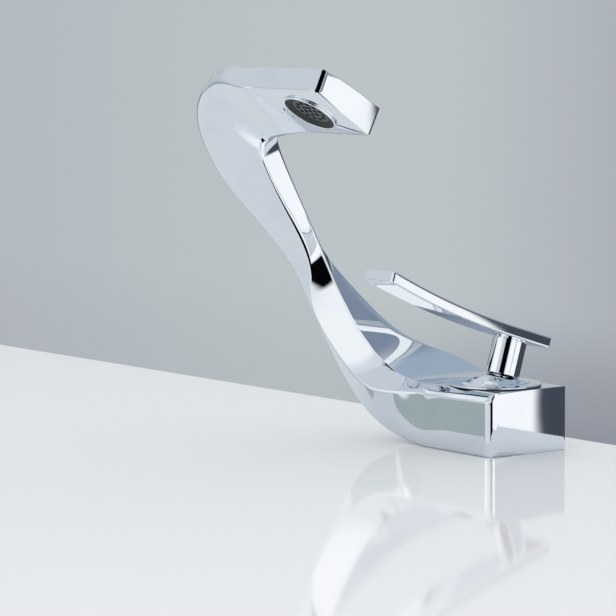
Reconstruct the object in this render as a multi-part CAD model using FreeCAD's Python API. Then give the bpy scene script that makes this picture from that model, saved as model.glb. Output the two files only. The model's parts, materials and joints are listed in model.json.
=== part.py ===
import FreeCAD, Part
import math
import os

V = FreeCAD.Vector
X_AXIS = V(1, 0, 0)
Y_AXIS = V(0, 1, 0)
Z_AXIS = V(0, 0, 1)
ORIGIN = V(0, 0, 0)

# Single-lever basin faucet, millimetres. +Z is up, -Y points over the basin and +X is the
# user's right. The origin is on the deck, under the middle of the square base.

# ---- base block ----
base_width = 50.0
base_depth = 50.0
base_height = 32.0
base_front_corner = 5.0     # rounds of the two upright corners at the right-hand end
base_back_corner = 1.4
top_bevel_drop = 5.0        # bevel along the front top edge, measured down the front
top_bevel_run = 3.5         # and back over the top
edge_round = 1.2

# ---- spout path ----
spout_bow = 92.0            # how far the bend stands out to the left of the axis
spout_lean = 108.0          # from the front of the base to the front of the head
spout_rise = 182.6          # deck to the head's lower front edge
head_end = 25.0             # the head's flat end, to the right of the axis
head_pitch = 56.0           # turn of the head's underside towards the basin, degrees
head_face = 39.5            # width of the underside
head_front = 11.7           # thickness at the front edge
head_back = 14.2            # thickness at the back edge
head_front_corner = 4.4
head_back_corner = 1.4
waterway_radius = 3.6

# ---- outlet ----
aerator_radius = 14.0       # visible ring
aerator_lip = 1.0           # how far the ring stands below the head
aerator_thread_radius = 11.9
aerator_depth = 8.5
aerator_bore = 9.6
washer_thickness = 1.5
insert_recess = 1.6
insert_length = 4.2
screen_thickness = 0.8
jet_pitch = 3.4
jet_radius = 1.1
washer_lap = 1.1            # the washer reaches inwards over the ring's bore
outlet_chamber = 2.0        # room over the outlet's washer

# ---- cartridge ----
pivot_depth = 10.0          # handle pivot below the top of the base
pivot_height = base_height - pivot_depth
pivot_rise = 16.0           # handle pivot above the floor of the cartridge bore
seat_height = pivot_height - pivot_rise
cartridge_radius = 17.4
cartridge_wall = 2.1
cartridge_length = 14.3
cartridge_top = seat_height + cartridge_length
lip_thickness = 1.0
disc_thickness = 2.2
disc_play = 2.3             # housing's wall to the fixed disc
fixed_disc_radius = cartridge_radius - cartridge_wall - disc_play
moving_disc_inset = 1.5     # the moving disc is smaller all round than the fixed one
moving_disc_radius = fixed_disc_radius - moving_disc_inset
chamber_rim = 3.0           # sealing rim round the mixing chamber
port_offset = 6.6           # hot and cold ports to each side of the axis
port_bore = 3.0
base_plate = 2.5
carrier_height = 3.05
rotor_flange = 2.9
flange_play = 0.8
rotor_flange_radius = cartridge_radius - cartridge_wall - flange_play
rotor_neck_radius = 10.7
rotor_length = 19.2         # above the floor of the bore
rotor_top = seat_height + rotor_length
pin_radius = 1.5
finger_dip = 0.95           # the finger's ball end sits this far down in the carrier
finger_radius = 1.9
finger_waist = 0.5          # the finger is thinner than its ball end by this
spindle_side = 7.0
spindle_radius = 3.5
nut_height = 4.0
bonnet_radius = 19.85       # thread shared by the retaining nut and the cap

peg_radius = 1.5            # locating pegs under the cartridge
peg_offset = 11.0
peg_length = 1.5
seal_outer = 4.6
seal_height = 0.9
finger_play = 0.15
window_width = 9.0
spindle_foot = 4.2          # pivot down to the end of the square
spindle_shoulder = 5.8      # pivot up to the end of the square
spindle_top = 26.5
spindle_flat = 0.6
notch_width = 4.0

# ---- cap and handle ----
cap_radius = 23.2
cap_flange = 1.3
cap_step_radius = 16.5
cap_step = 0.7
cap_groove_radius = 14.6    # the stem's foot dips into a groove inside the step
cap_groove_floor = 0.6      # metal left under the groove
cap_dome_radius = 17.3      # outside of the fixed dome, about the pivot
cap_dome_wall = 0.8
shield_play = 0.3           # moving dome to the inside of the fixed one
shield_radius = cap_dome_radius - cap_dome_wall - shield_play
shield_wall = 1.0
shield_seat = 0.25          # between the moving dome and the stem above it
shield_spread = 56.0        # half angle that the moving dome covers, degrees
open_tilt = 17.0            # handle leans back by this much when modelled
lift_limit = 22.0           # furthest lean, for the clearances
stem_radius = 8.5
stem_foot_gap = 0.35        # between the stem's foot and the fixed dome
stem_top = 33.4             # pivot to the top of the stem
hub_radius = 4.6
cap_skirt = 5.4
skirt_wall = 1.65
cap_roof = 1.0
cap_seal_inner = 20.6
cap_seal_outer = 22.2
cap_seal_height = 0.8
joint_height = 0.8
joint_radius = 7.4
lever_front = 92.0          # stem axis to the tip
lever_back = 18.0
lever_tip_width = 23.5
lever_back_width = 19.0
lever_thickness = 5.4
lever_sweep = 450.0         # radius of the lever's upward curve
lever_straight = 8.5        # the curve starts this far in front of the axis
lever_round = 0.8
lever_tip_corner = 2.0
lever_back_corner = 1.0
stud_radius = 2.5
stud_depth = 3.2
grub_radius = 2.5
grub_height = 21.0          # above the pivot
grub_length = 3.0

# ---- below the deck ----
shank_radius = 16.0
shank_wall = 2.6
shank_length = 62.0
shank_floor = 0.5           # metal between the shank and the cartridge bore
shank_entry = seat_height - shank_floor
inlet_radius = 5.0
inlet_roof = 3.0            # metal between the inlet threads and the cartridge bore
spigot_length = 6.0
inlet_depth = spigot_length + seat_height - inlet_roof
gasket_inner = 18.0
gasket_outer = 21.0
gasket_thickness = 1.8
deck_thickness = 25.0
clamp_outer = 25.0
clamp_rubber = 3.0
clamp_plate = 2.0
washer_inset = 1.0
nut_across_flats = 42.0
lock_nut_height = 9.0

# ---- fits ----
gap = 0.3                   # between pieces that move past each other
fit = 0.05                  # between a shaft and its hole, on the radius
seat = 0.02                 # between pieces that are screwed or pressed home
through = 1.0               # tools run past the faces that they cut


# ---------------------------------------------------------------- shapes

def disc(radius, low, high, centre=ORIGIN):
    return Part.makeCylinder(radius, high - low, centre + V(0, 0, low))


def tube(outer, inner, low, high):
    return disc(outer, low, high).cut(disc(inner, low - through, high + through))


def turned(profile):
    """A solid of revolution about Z from (radius, height) points."""
    points = [V(radius, 0, height) for radius, height in profile]
    outline = Part.makePolygon(points + points[:1])
    return Part.Face(outline).revolve(ORIGIN, Z_AXIS, 360)


def block(low, high):
    return Part.makeBox(high.x - low.x, high.y - low.y, high.z - low.z, low)


def ball(radius, centre=ORIGIN):
    return Part.makeSphere(radius, centre)


def to_pose(shape):
    """Move a handle piece from its own upright frame, pivot at the origin, to the open pose."""
    posed = shape.copy()
    posed.rotate(ORIGIN, X_AXIS, -open_tilt)
    posed.translate(V(0, 0, pivot_height))
    return posed


def rounded_outline(corners, radii):
    """A closed outline through the corners, each replaced by an arc of its own radius."""
    pieces = []
    count = len(corners)
    tangents = []
    for index, corner in enumerate(corners):
        back = corners[index - 1] - corner
        ahead = corners[(index + 1) % count] - corner
        half = back.getAngle(ahead) / 2
        reach = radii[index] / math.tan(half)
        reach = min(reach, 0.45 * back.Length, 0.45 * ahead.Length)
        radius = reach * math.tan(half)
        back.normalize()
        ahead.normalize()
        inward = back + ahead
        inward.normalize()
        middle = corner + inward * (radius / math.sin(half) - radius)
        tangents.append((corner + back * reach, middle, corner + ahead * reach))
    for index in range(count):
        start, middle, end = tangents[index]
        pieces.append(Part.Arc(start, middle, end).toShape())
        following = tangents[(index + 1) % count][0]
        pieces.append(Part.LineSegment(end, following).toShape())
    return Part.Wire(pieces)


# ---------------------------------------------------------------- spout casting
#
# The casting is one twisted bar. Each section is a five-sided outline in a plane across the
# bar. "keel" is the outer corner, as shares of the bow, the lean and the rise. "twist" turns
# the section about the way the bar runs. From the keel, the front face runs "face" wide along
# the first direction of the section, and the second direction goes into the metal: "inner" is
# the far side of the inner bevel, "ridge" the corner of the back and "heel" the back corner
# over the keel.

base_outline = {
    "face": base_height - top_bevel_drop,
    "inner": (base_height, top_bevel_run),
    "ridge": (base_height, base_depth),
    "heel": (0.0, base_depth),
    "rounds": (1.5, 1.5, 1.0, edge_round, edge_round),
}
head_outline = {
    "face": head_face,
    "inner": (head_face - 1.8, head_back),
    "ridge": (head_face / 2, (head_back + head_front) / 2 + 0.5),
    "heel": (-2.0, head_front),
    "rounds": (edge_round, edge_round, edge_round, 30.0, edge_round),
}
arm_sections = [
    {"keel": (0.543, 0.010, 0.025), "twist": -8, "face": 23.5, "inner": (29.5, 7),
     "ridge": (32, 44), "heel": (0, 44), "rounds": (1.5, 1.5, 1, 1.5, 2)},
    {"keel": (0.750, 0.012, 0.070), "twist": -23, "face": 21.5, "inner": (29.5, 12),
     "ridge": (29.5, 38), "heel": (0, 38), "rounds": (1.5, 1.5, 1, 1.5, 3)},
    {"keel": (0.880, 0.165, 0.262), "twist": -17, "face": 6.5, "inner": (22.5, 11.5),
     "ridge": (21, 28), "heel": (0, 28), "rounds": (1.5, 1.5, 1, 3, 4)},
    {"keel": (0.880, 0.287, 0.395), "twist": -10, "face": 3.5, "inner": (20.5, 9.5),
     "ridge": (14.5, 20), "heel": (0, 20), "rounds": (1.5, 2, 1, 5, 5)},
    {"keel": (0.870, 0.393, 0.493), "twist": 1, "face": 15, "inner": (23, 6),
     "ridge": (11, 15), "heel": (0, 14.5), "rounds": (2, 4, 1, 8, 4)},
    {"keel": (0.951, 0.583, 0.641), "twist": -2, "face": 31, "inner": (33.5, 9.5),
     "ridge": (20, 14.5), "heel": (0, 14), "rounds": (3, 2, 1, 12, 3)},
    {"keel": (1.000, 0.810, 0.820), "twist": 13, "face": 40.5, "inner": (42, 12),
     "ridge": (26, 14), "heel": (0, 13), "rounds": (4, 1.2, 1.2, 20, 3)},
    {"keel": (0.902, 0.931, 0.926), "twist": 30, "face": 41, "inner": (43, 12.5),
     "ridge": (27, 13.5), "heel": (0, 12.5), "rounds": (6, 2, 1.2, 20, 3)},
    {"keel": (0.674, 0.991, 0.996), "twist": 42, "face": 41, "inner": (43, 13),
     "ridge": (25, 13.8), "heel": (-1, 12.5), "rounds": (6, 5, 1.2, 20, 2)},
    {"keel": (0.330, 1.012, 0.997), "twist": 54, "face": 39.5, "inner": (40, 13.7),
     "ridge": (21, 13.7), "heel": (-2, 12), "rounds": (2, 3, 1.2, 30, edge_round)},
]
arm_left = base_width / 2            # the straight base block ends here, left of the axis
head_left = 17.0                     # and the straight head here
lead = 4.0                           # twin sections at both ends keep the joins smooth


def keel_point(shares):
    bow, lean, rise = shares
    return V(-spout_bow * bow, -base_depth / 2 - spout_lean * lean, spout_rise * rise)


def base_keel(x):
    return V(x, -base_depth / 2, 0)


def head_keel(x):
    return V(x, -base_depth / 2 - spout_lean, spout_rise)


def section_axes(run, twist):
    """First direction, along the front face, and second direction, into the metal."""
    along = V(run)
    along.normalize()
    inward = Y_AXIS - along * Y_AXIS.dot(along)
    inward.normalize()
    turn = FreeCAD.Rotation(along, twist)
    inward = turn.multVec(inward)
    return inward.cross(along), inward


def section(keel, run, twist, outline):
    across, inward = section_axes(run, twist)
    places = [(0.0, 0.0), (outline["face"], 0.0), outline["inner"], outline["ridge"], outline["heel"]]
    corners = [keel + across * first + inward * second for first, second in places]
    middle = V(0, 0, 0)
    for corner in corners:
        middle += corner * (1.0 / len(corners))
    return {"wire": rounded_outline(corners, outline["rounds"]), "middle": middle, "run": run,
            "across": across, "inward": inward}


def spout_sections():
    keels = [base_keel(-arm_left + lead), base_keel(-arm_left)]
    keels += [keel_point(station["keel"]) for station in arm_sections]
    keels += [head_keel(-head_left - lead), head_keel(-head_left)]
    outlines = [base_outline] * 2 + arm_sections + [head_outline] * 2
    twists = [0.0, 0.0] + [station["twist"] for station in arm_sections] + [head_pitch] * 2
    sections = []
    last = len(keels) - 1
    for index, keel in enumerate(keels):
        if index <= 1:
            run = -X_AXIS
        elif index >= last - 1:
            run = X_AXIS
        else:
            before = keel - keels[index - 1]
            after = keels[index + 1] - keel
            run = before * (after.Length / before.Length) + after * (before.Length / after.Length)
        sections.append(section(keel, run, twists[index], outlines[index]))
    return sections


def prism(wire, length):
    return Part.Face(wire).extrude(X_AXIS * length)


def round_corner(shape, corner, first, second, axis, radius, length):
    """Round an outside corner whose two faces run away from it along first and second."""
    start = corner - axis * length
    points = [start - (first + second) * through, start + first * radius - second * through,
              start + (first + second) * radius, start + second * radius - first * through]
    notch = Part.Face(Part.makePolygon(points + points[:1])).extrude(axis * (2 * length))
    core = Part.makeCylinder(radius, 2 * length, start + (first + second) * radius, axis)
    return shape.cut(notch.cut(core))


def outlet_centre(across):
    return head_keel(0) + across * (head_face / 2)


def to_outlet(shape):
    """Move an aerator piece from its own frame, +Z into the head, to the outlet."""
    across, inward = section_axes(X_AXIS, head_pitch)
    placed = shape.copy()
    placed.rotate(ORIGIN, X_AXIS, head_pitch - 90)
    placed.translate(outlet_centre(across))
    return placed


def waterway(sections):
    """The cored passage, from the cartridge bore up the arm and into the head."""
    centre = V(-cartridge_radius, 0, seat_height + base_plate + waterway_radius)
    circles = [Part.Circle(centre + X_AXIS * lead, X_AXIS, waterway_radius)]
    circles.append(Part.Circle(centre, X_AXIS, waterway_radius))
    for station in sections[2:]:
        circles.append(Part.Circle(station["middle"], station["run"], waterway_radius))
    wires = []
    for circle in circles:
        wires.append(Part.Wire(circle.toShape()))
    passage = Part.makeLoft(wires, True)
    end = sections[-1]["middle"]
    return passage.fuse(Part.makeCylinder(waterway_radius, head_left, end, X_AXIS))


def spout_outside(sections):
    arm = Part.makeLoft([station["wire"] for station in sections], True)
    base = prism(sections[0]["wire"], base_width / 2 + arm_left - lead)
    head = prism(sections[-1]["wire"], head_end + head_left)
    casting = arm.fuse([base, head]).removeSplitter()
    half_depth = base_depth / 2
    for side, radius in ((-1, base_front_corner), (1, base_back_corner)):
        corner = V(base_width / 2, side * half_depth, base_height / 2)
        casting = round_corner(casting, corner, -X_AXIS, Y_AXIS * -side, Z_AXIS, radius, base_height)
    across, inward = section_axes(X_AXIS, head_pitch)
    keel = head_keel(head_end)
    for radius, low, high, sense in (
        (head_front_corner, (0.0, 0.0), head_outline["heel"], 1),
        (head_back_corner, (head_face, 0.0), head_outline["inner"], -1),
    ):
        foot = keel + across * low[0] + inward * low[1]
        top = keel + across * high[0] + inward * high[1]
        edge = top - foot
        edge.normalize()
        into = edge.cross(X_AXIS) * sense
        casting = round_corner(casting, foot, -X_AXIS, into, edge, radius, head_face)
    return casting


def inlet_places():
    return [V(side * port_offset, 0, 0) for side in (-1, 1)]


def spout_body():
    sections = spout_sections()
    casting = spout_outside(sections)
    shank_inner = shank_radius - shank_wall
    casting = casting.fuse(disc(shank_inner - fit, -spigot_length, seat_height))
    tools = [
        disc(cartridge_radius + fit, seat_height, base_height + through),
        disc(bonnet_radius + seat, cartridge_top - lip_thickness, base_height + through),
        tube(shank_radius + seat, shank_inner - fit, -through, shank_entry),
        tube(gasket_outer + fit, gasket_inner - fit, -through, gasket_thickness),
        waterway(sections),
    ]
    for place in inlet_places():
        tools.append(disc(inlet_radius, -spigot_length - through, inlet_depth - spigot_length, place))
        tools.append(disc(port_bore, -spigot_length, seat_height + through, place))
    for side in (-1, 1):
        tools.append(disc(peg_radius + fit, seat_height - peg_length - gap, seat_height + through,
                          V(0, side * peg_offset, 0)))
    tools.append(to_outlet(disc(aerator_thread_radius + seat, -through, aerator_depth)))
    tools.append(to_outlet(disc(aerator_bore - washer_lap, 0, aerator_depth + outlet_chamber)))
    for tool in tools:
        casting = casting.cut(tool)
    return casting


# ---------------------------------------------------------------- aerator

def jet_places():
    places = [V(0, 0, 0)]
    for ring, count in ((1, 6), (2, 12)):
        for step in range(count):
            angle = 2 * math.pi * step / count
            places.append(V(math.cos(angle), math.sin(angle), 0) * (ring * jet_pitch))
    return places


def aerator_housing():
    thread_top = aerator_depth - washer_thickness
    ring = turned([
        (aerator_bore, -aerator_lip), (aerator_radius - 0.4, -aerator_lip),
        (aerator_radius, 0.4 - aerator_lip), (aerator_radius, 0), (aerator_thread_radius, 0),
        (aerator_thread_radius, thread_top), (aerator_bore, thread_top),
    ])
    return to_outlet(ring)


def aerator_insert():
    low = insert_recess - aerator_lip
    high = low + insert_length
    jets = [disc(jet_radius, low - through, high + through, place) for place in jet_places()]
    return to_outlet(disc(aerator_bore - fit, low, high).cut(Part.makeCompound(jets)))


def aerator_screen():
    low = insert_recess - aerator_lip + insert_length
    return to_outlet(disc(aerator_bore - fit, low, low + screen_thickness))


def aerator_washer():
    washer = tube(aerator_thread_radius - gap, aerator_bore - washer_lap,
                  aerator_depth - washer_thickness, aerator_depth)
    return to_outlet(washer)


# ---------------------------------------------------------------- cartridge

plate_top = seat_height + base_plate
fixed_top = plate_top + disc_thickness
moving_top = fixed_top + disc_thickness
carrier_top = moving_top + carrier_height
rotor_low = carrier_top + gap / 2
housing_low = plate_top - lip_thickness
finger_reach = pivot_height - carrier_top + finger_dip


def disc_shift():
    """How far the moving disc has slid towards the basin with the handle in its modelled pose."""
    return V(0, -finger_reach * math.sin(math.radians(open_tilt)), 0)


def cartridge_base():
    plate = disc(cartridge_radius, seat_height, housing_low)
    plate = plate.fuse(disc(cartridge_radius - cartridge_wall - fit, seat_height, plate_top))
    for side in (-1, 1):
        plate = plate.fuse(disc(peg_radius, seat_height - peg_length, plate_top,
                                V(0, side * peg_offset, 0)))
    for place in inlet_places():
        plate = plate.cut(disc(port_bore, seat_height - through, plate_top + through, place))
        plate = plate.cut(disc(seal_outer, seat_height - through, seat_height + seal_height, place))
    return plate


def cartridge_seals():
    rings = []
    for place in inlet_places():
        ring = tube(seal_outer - seat, port_bore, seat_height, seat_height + seal_height - seat)
        ring.translate(place)
        rings.append(ring)
    return Part.makeCompound(rings)


def cartridge_housing():
    inner = cartridge_radius - cartridge_wall
    lip = rotor_neck_radius + gap
    shell = turned([
        (inner, housing_low), (cartridge_radius, housing_low), (cartridge_radius, cartridge_top),
        (lip, cartridge_top), (lip, cartridge_top - lip_thickness),
        (inner, cartridge_top - lip_thickness),
    ])
    window = block(V(-cartridge_radius - through, -window_width / 2, plate_top + gap),
                   V(-inner + through, window_width / 2, plate_top + gap + 2 * waterway_radius))
    return shell.cut(window)


def fixed_disc():
    plate = disc(fixed_disc_radius, plate_top, fixed_top)
    for place in inlet_places():
        plate = plate.cut(disc(port_bore - 0.2, plate_top - through, fixed_top + through, place))
    return plate


def moving_disc():
    plate = disc(moving_disc_radius, fixed_top + fit, moving_top)
    chamber = disc(moving_disc_radius - chamber_rim, fixed_top - through, fixed_top + disc_thickness / 2)
    plate = plate.cut(chamber)
    plate.translate(disc_shift())
    return plate


def disc_carrier():
    plate = disc(moving_disc_radius, moving_top, carrier_top)
    half = finger_radius + finger_play
    pocket = block(V(-half, -half, moving_top - through), V(half, half, carrier_top + through))
    plate = plate.cut(pocket)
    plate.translate(disc_shift())
    return plate


def cartridge_rotor():
    flange_top = rotor_low + rotor_flange
    rotor = disc(rotor_flange_radius, rotor_low, flange_top)
    rotor = rotor.fuse(disc(rotor_neck_radius, rotor_low, rotor_top))
    width = spindle_side / 2 + gap
    lean = math.tan(math.radians(lift_limit)) * (pivot_height - rotor_low)
    length = spindle_side / 2 + lean
    rotor = rotor.cut(block(V(-width, -length, rotor_low - through), V(width, length, rotor_top + through)))
    pin_hole = Part.makeCylinder(pin_radius + seat, 2 * rotor_neck_radius + 2 * through,
                                 V(-rotor_neck_radius - through, 0, pivot_height), X_AXIS)
    return rotor.cut(pin_hole)


def pivot_pin():
    half = rotor_neck_radius - gap
    return Part.makeCylinder(pin_radius, 2 * half, V(-half, 0, pivot_height), X_AXIS)


def spindle():
    half = spindle_side / 2
    shaft = block(V(-half, -half, -spindle_foot), V(half, half, spindle_shoulder))
    shaft = shaft.fuse(disc(spindle_radius, 0, spindle_top))
    shaft = shaft.fuse(disc(finger_radius - finger_waist, -finger_reach, 0))
    shaft = shaft.fuse(ball(finger_radius, V(0, 0, -finger_reach)))
    flat = block(V(-half, spindle_radius - spindle_flat, grub_height - 2 * grub_radius),
                 V(half, half + through, spindle_top + through))
    shaft = shaft.cut(flat)
    pin_hole = Part.makeCylinder(pin_radius + fit, spindle_side + 2 * through,
                                 V(-half - through, 0, 0), X_AXIS)
    return to_pose(shaft.cut(pin_hole))


def retaining_nut():
    low = cartridge_top + seat
    nut = tube(bonnet_radius, rotor_neck_radius + 2 * gap, low, low + nut_height)
    notch = block(V(-notch_width / 2, -bonnet_radius - through, low + nut_height / 2),
                  V(notch_width / 2, bonnet_radius + through, low + nut_height + through))
    for angle in (45, 135):
        slot = notch.copy()
        slot.rotate(ORIGIN, Z_AXIS, angle)
        nut = nut.cut(slot)
    return nut


# ---------------------------------------------------------------- cap and handle

def opening_radius():
    """The cap's opening lets the stem's hub lean to the limit."""
    hub = math.degrees(math.asin(hub_radius / cap_dome_radius))
    return cap_dome_radius * math.sin(math.radians(lift_limit + hub + 1.0))


def dome_cap():
    flange_top = base_height + cap_flange
    step_top = flange_top + cap_step
    ring = turned([
        (0, base_height), (cap_radius, base_height), (cap_radius, flange_top - 0.4),
        (cap_radius - 0.4, flange_top), (cap_step_radius + cap_step, flange_top),
        (cap_step_radius, step_top), (cap_groove_radius, step_top),
        (cap_groove_radius, base_height + cap_groove_floor), (0, base_height + cap_groove_floor),
    ])
    pivot = V(0, 0, pivot_height)
    dome = ball(cap_dome_radius, pivot).common(disc(cap_step_radius, base_height, base_height * 2))
    skirt = disc(bonnet_radius, base_height - cap_skirt, base_height)
    cap = ring.fuse([dome, skirt])
    inner = ball(cap_dome_radius - cap_dome_wall, pivot)
    cap = cap.cut(disc(bonnet_radius - skirt_wall, 0, base_height - cap_roof))
    cap = cap.cut(inner)
    cap = cap.cut(disc(opening_radius(), base_height - through, base_height * 2))
    groove = tube(cap_seal_outer + fit, cap_seal_inner - fit, base_height - through,
                  base_height + cap_seal_height)
    return cap.cut(groove)


def cap_seal():
    return tube(cap_seal_outer, cap_seal_inner, base_height, base_height + cap_seal_height - seat)


def dome_shield():
    low = shield_radius * math.cos(math.radians(shield_spread))
    shell = ball(shield_radius).cut(ball(shield_radius - shield_wall))
    shell = shell.common(disc(shield_radius, low, shield_radius + through))
    shell = shell.fuse(disc(hub_radius, spindle_shoulder + seat, shield_radius - shield_wall / 2))
    return to_pose(shell.cut(disc(spindle_radius + seat, 0, shield_radius + through)))


def handle_stem():
    foot = cap_dome_radius + stem_foot_gap
    stem = disc(stem_radius, 0, stem_top).cut(ball(foot))
    stem = stem.fuse(disc(hub_radius, 0, stem_top).cut(ball(shield_radius + shield_seat)))
    stem = stem.fuse(disc(joint_radius, stem_top - joint_height, stem_top + joint_height))
    stem = stem.cut(disc(spindle_radius + seat, 0, spindle_top + gap))
    stem = stem.cut(disc(stud_radius + seat, 0, stem_top + 2 * joint_height))
    grub_hole = Part.makeCylinder(grub_radius + seat, stem_radius + through, V(0, 0, grub_height), Y_AXIS)
    return to_pose(stem.cut(grub_hole))


def handle_lever():
    low = stem_top + joint_height
    curve_centre = V(0, -lever_straight, low + lever_sweep)

    def curve_height(y, radius):
        return curve_centre.z - math.sqrt(radius ** 2 - (y - curve_centre.y) ** 2)

    top_radius = lever_sweep - lever_thickness
    halfway = -(lever_straight + lever_front) / 2
    outline = []
    start = V(0, lever_back, low)
    bend = V(0, -lever_straight, low)
    tip = V(0, -lever_front, curve_height(-lever_front, lever_sweep))
    outline.append(Part.LineSegment(start, bend).toShape())
    outline.append(Part.Arc(bend, V(0, halfway, curve_height(halfway, lever_sweep)), tip).toShape())
    tip_top = V(0, -lever_front, curve_height(-lever_front, top_radius))
    bend_top = V(0, -lever_straight, low + lever_thickness)
    start_top = V(0, lever_back, low + lever_thickness)
    outline.append(Part.LineSegment(tip, tip_top).toShape())
    outline.append(Part.Arc(tip_top, V(0, halfway, curve_height(halfway, top_radius)), bend_top).toShape())
    outline.append(Part.LineSegment(bend_top, start_top).toShape())
    outline.append(Part.LineSegment(start_top, start).toShape())
    profile = Part.Face(Part.Wire(outline))
    width = lever_tip_width + 2 * through
    profile.translate(V(-width / 2, 0, 0))
    blade = profile.extrude(V(width, 0, 0))
    plan = [V(-lever_tip_width / 2, -lever_front, 0), V(lever_tip_width / 2, -lever_front, 0),
            V(lever_back_width / 2, lever_back, 0), V(-lever_back_width / 2, lever_back, 0)]
    plan_wire = rounded_outline(plan, (lever_tip_corner, lever_tip_corner, lever_back_corner, lever_back_corner))
    blade = blade.common(Part.Face(plan_wire).extrude(V(0, 0, 3 * stem_top)))
    blade = blade.makeFillet(lever_round, blade.Edges)
    return to_pose(blade.cut(disc(stud_radius + seat, 0, low + stud_depth)))


def lever_stud():
    return to_pose(disc(stud_radius, spindle_top + 2 * gap, stem_top + joint_height + stud_depth - gap))


def grub_screw():
    start = spindle_radius - spindle_flat + seat
    screw = Part.makeCylinder(grub_radius, grub_length, V(0, start, grub_height), Y_AXIS)
    key = Part.makeCylinder(grub_radius / 2, grub_length, V(0, start + grub_length / 2, grub_height), Y_AXIS)
    return to_pose(screw.cut(key))


def screw_plug():
    start = spindle_radius - spindle_flat + grub_length + gap
    plug = Part.makeCylinder(grub_radius, stem_radius, V(0, start, grub_height), Y_AXIS)
    return to_pose(plug.common(disc(stem_radius - seat, 0, stem_top)))


# ---------------------------------------------------------------- below the deck

def mounting_shank():
    return tube(shank_radius, shank_radius - shank_wall, -shank_length, shank_entry - seat)


def base_gasket():
    return tube(gasket_outer, gasket_inner, 0, gasket_thickness - seat)


def clamp_gasket():
    low = -deck_thickness - clamp_rubber
    return tube(clamp_outer, shank_radius + gap, low, -deck_thickness)


def clamp_washer():
    high = -deck_thickness - clamp_rubber
    return tube(clamp_outer - washer_inset, shank_radius + gap, high - clamp_plate, high)


def lock_nut():
    high = -deck_thickness - clamp_rubber - clamp_plate
    corner_radius = nut_across_flats / 2 / math.cos(math.radians(30))
    corners = []
    for step in range(6):
        angle = math.radians(60 * step)
        corners.append(V(corner_radius * math.cos(angle), corner_radius * math.sin(angle), high))
    nut = Part.Face(Part.makePolygon(corners + corners[:1])).extrude(V(0, 0, -lock_nut_height))
    return nut.cut(disc(shank_radius + seat, high - lock_nut_height - through, high + through))


# ---------------------------------------------------------------- files

nodes = [
    spout_body, aerator_housing, aerator_insert, aerator_screen, aerator_washer,
    cartridge_base, cartridge_seals, cartridge_housing, fixed_disc, moving_disc, disc_carrier,
    cartridge_rotor, pivot_pin, spindle, retaining_nut, dome_cap, cap_seal, dome_shield,
    handle_stem, handle_lever, lever_stud, grub_screw, screw_plug,
    mounting_shank, base_gasket, clamp_gasket, clamp_washer, lock_nut,
]
os.makedirs("parts", exist_ok=True)
for node in nodes:
    shape = node()
    shape.exportStep("parts/" + node.__name__ + ".step")
    print(node.__name__, len(shape.Solids), shape.isValid(), round(shape.Volume, 1))
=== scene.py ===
import json
import math
import bmesh
import bpy
import numpy as np
from mathutils import Matrix, Vector


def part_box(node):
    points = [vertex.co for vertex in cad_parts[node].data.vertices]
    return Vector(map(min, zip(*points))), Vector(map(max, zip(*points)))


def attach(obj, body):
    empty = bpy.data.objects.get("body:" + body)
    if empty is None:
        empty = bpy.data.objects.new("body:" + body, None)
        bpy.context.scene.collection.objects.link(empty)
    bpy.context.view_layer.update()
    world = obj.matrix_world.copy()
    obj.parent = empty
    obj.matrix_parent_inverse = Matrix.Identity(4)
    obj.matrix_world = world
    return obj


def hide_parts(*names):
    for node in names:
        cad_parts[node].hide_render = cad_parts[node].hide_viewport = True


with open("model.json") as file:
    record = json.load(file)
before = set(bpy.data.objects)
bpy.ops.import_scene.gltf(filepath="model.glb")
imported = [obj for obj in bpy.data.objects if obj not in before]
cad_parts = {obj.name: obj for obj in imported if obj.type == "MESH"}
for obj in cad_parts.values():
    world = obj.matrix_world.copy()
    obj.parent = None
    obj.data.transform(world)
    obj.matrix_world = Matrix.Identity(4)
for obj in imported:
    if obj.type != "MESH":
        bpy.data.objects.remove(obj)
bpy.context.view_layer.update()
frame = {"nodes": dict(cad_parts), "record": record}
mm = 0.001
smoothAngle = math.radians(32)
endSides = 8  # a flat end has more sides than this
manySides = 20  # and a face with more than this is shaded flat
facing = 0.999
sideShare = 0.45  # a corner's arc takes up this much of a side at most
applied = dict(location=True, rotation=True, scale=True)
print("frame loaded")


# small tools

def deselectAll():
    if bpy.context.object and bpy.context.object.mode != "OBJECT":
        bpy.ops.object.mode_set(mode="OBJECT")
    bpy.ops.object.select_all(action="DESELECT")


def makeActive(piece):
    deselectAll()
    piece.select_set(True)
    bpy.context.view_layer.objects.active = piece


def editMode(piece, selectMode="VERT"):
    makeActive(piece)
    bpy.ops.object.mode_set(mode="EDIT")
    bpy.ops.mesh.select_mode(type=selectMode)
    bpy.ops.mesh.select_all(action="DESELECT")
    return bmesh.from_edit_mesh(piece.data)


def addModifier(piece, kind, **settings):
    makeActive(piece)
    modifier = piece.modifiers.new(kind.lower(), kind)
    for name, value in settings.items():
        setattr(modifier, name, value)
    bpy.ops.object.modifier_apply(modifier=modifier.name)


def cutWith(piece, tools, operation="DIFFERENCE"):
    for tool in tools:
        addModifier(piece, "BOOLEAN", operation=operation, solver="MANIFOLD", object=tool)
        bpy.data.objects.remove(tool)


def cleanNormals(piece, mergeDistance=1e-6):
    editMode(piece)
    bpy.ops.mesh.select_all(action="SELECT")
    bpy.ops.mesh.remove_doubles(threshold=mergeDistance)
    bpy.ops.mesh.normals_make_consistent(inside=False)
    bpy.ops.object.mode_set(mode="OBJECT")


def placePiece(piece, matrix):
    piece.matrix_world = matrix @ piece.matrix_world
    makeActive(piece)
    bpy.ops.object.transform_apply(**applied)


def smoothPiece(piece, name):
    piece.name = name
    piece.data.name = name
    makeActive(piece)
    bpy.ops.object.shade_smooth_by_angle(angle=smoothAngle)


def coatPiece(piece, material):
    piece.data.materials.clear()
    piece.data.materials.append(material)


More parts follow.
